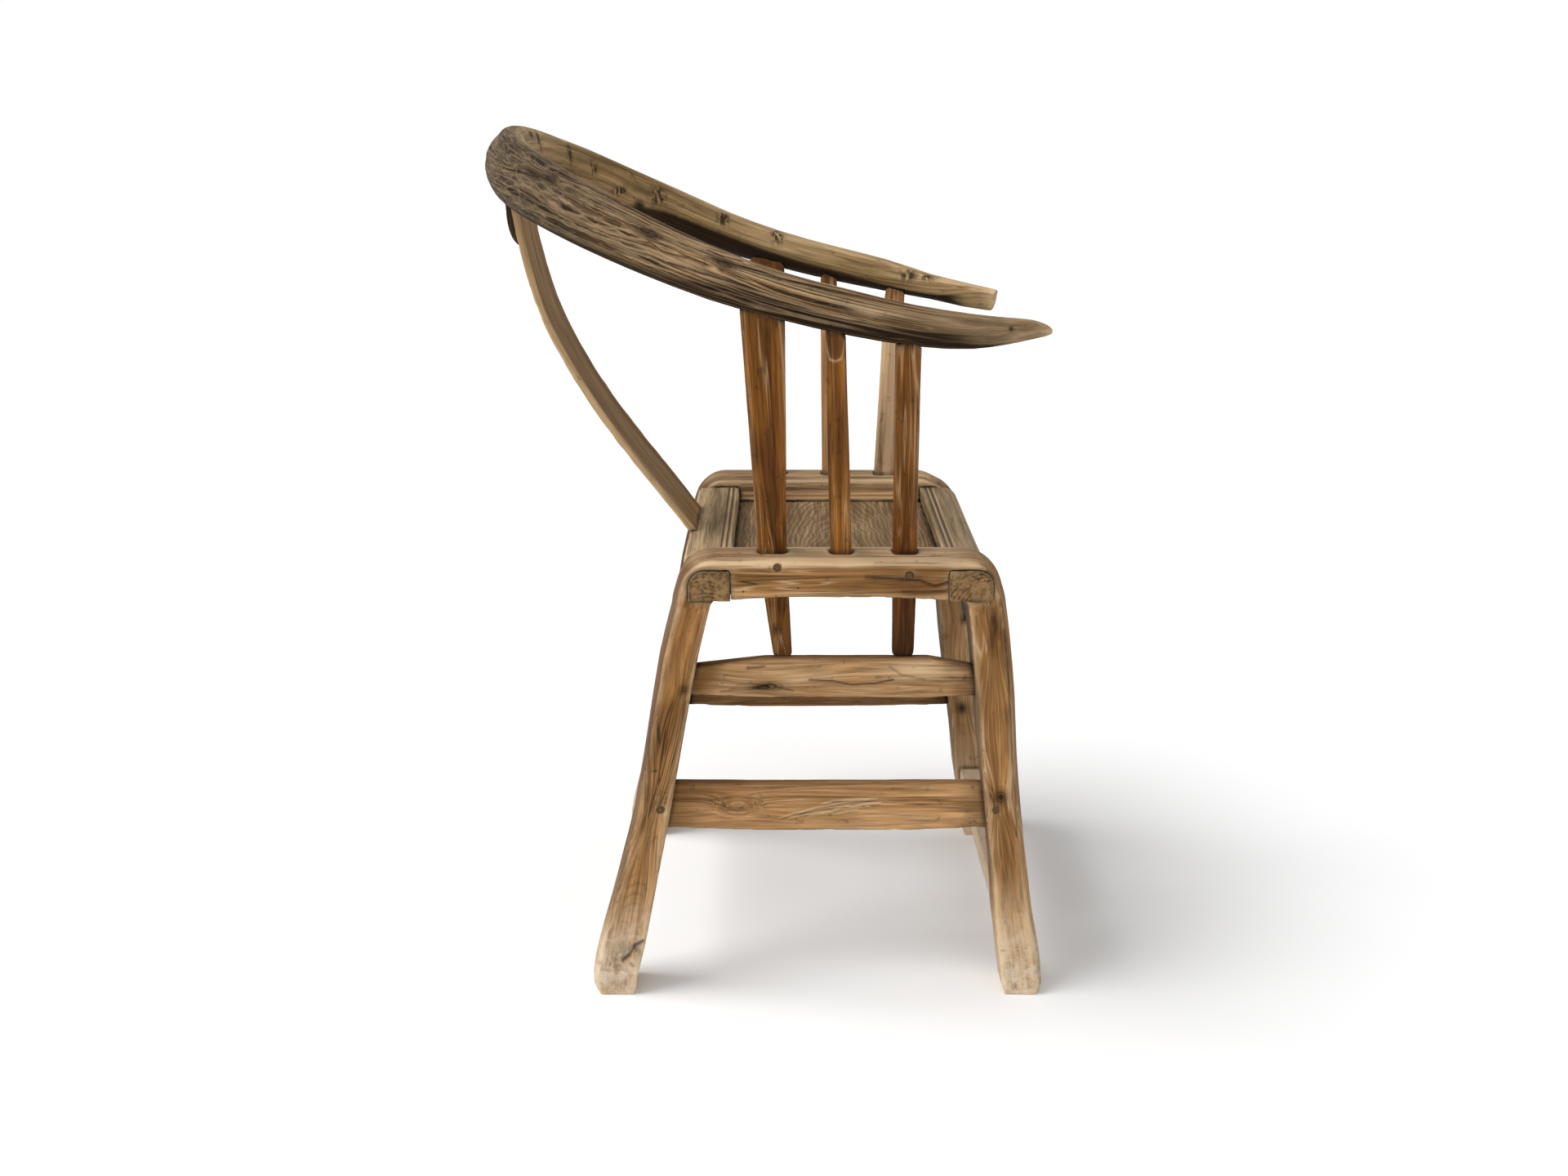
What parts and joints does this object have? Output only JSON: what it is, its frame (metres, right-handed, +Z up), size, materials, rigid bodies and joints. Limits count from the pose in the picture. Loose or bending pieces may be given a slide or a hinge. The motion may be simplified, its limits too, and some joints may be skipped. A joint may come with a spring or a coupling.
{
  "type": "horseshoe back armchair",
  "caption": "Low wooden armchair with a sloping horseshoe back rail, curved splat, slender posts, bent side frames, panel seat, side stretchers and a footrest.",
  "frame": {"origin": "on the floor, under the middle of the chair's bounding box", "axes": "+X forward, the way the sitter looks; +Y to the sitter's left; +Z up"},
  "size_m": [0.6322, 0.6472, 0.9511],
  "materials": {
    "frame_wood": "old dry elm, brown, worn pale at the feet and along the rail",
    "seat_wood": "greyed dry wood",
    "panel_wood": "grey-brown with raised wavy grain",
    "arm_wood": "weathered grey-brown outside with ridged growth rings, golden inside",
    "splat_wood": "olive-gold with fine cathedral grain",
    "post_wood": "warm brown, lightly polished by use",
    "stretcher_wood": "golden tan with knots and drying cracks",
    "dark_wood": "dark old wood",
    "peg_wood": "end grain of small pegs"
  },
  "bodies": {
    "root": {"right_side_frame": "frame_wood", "left_side_frame": "frame_wood", "front_seat_rail": "seat_wood", "back_seat_rail": "seat_wood", "seat_panel": "panel_wood", "seat_batten": "frame_wood", "crest_arm_rail": "arm_wood", "back_splat": "splat_wood", "splat_cleat": "dark_wood", "right_rear_post": "post_wood", "right_middle_post": "post_wood", "right_front_post": "post_wood", "left_rear_post": "post_wood", "left_middle_post": "post_wood", "left_front_post": "post_wood", "right_upper_stretcher": "stretcher_wood", "left_upper_stretcher": "stretcher_wood", "right_lower_stretcher": "stretcher_wood", "left_lower_stretcher": "stretcher_wood", "back_stretcher": "stretcher_wood", "footrest": "stretcher_wood", "front_apron": "dark_wood", "post_pegs": "peg_wood", "stretcher_pegs": "peg_wood"}
  },
  "joints": []
}
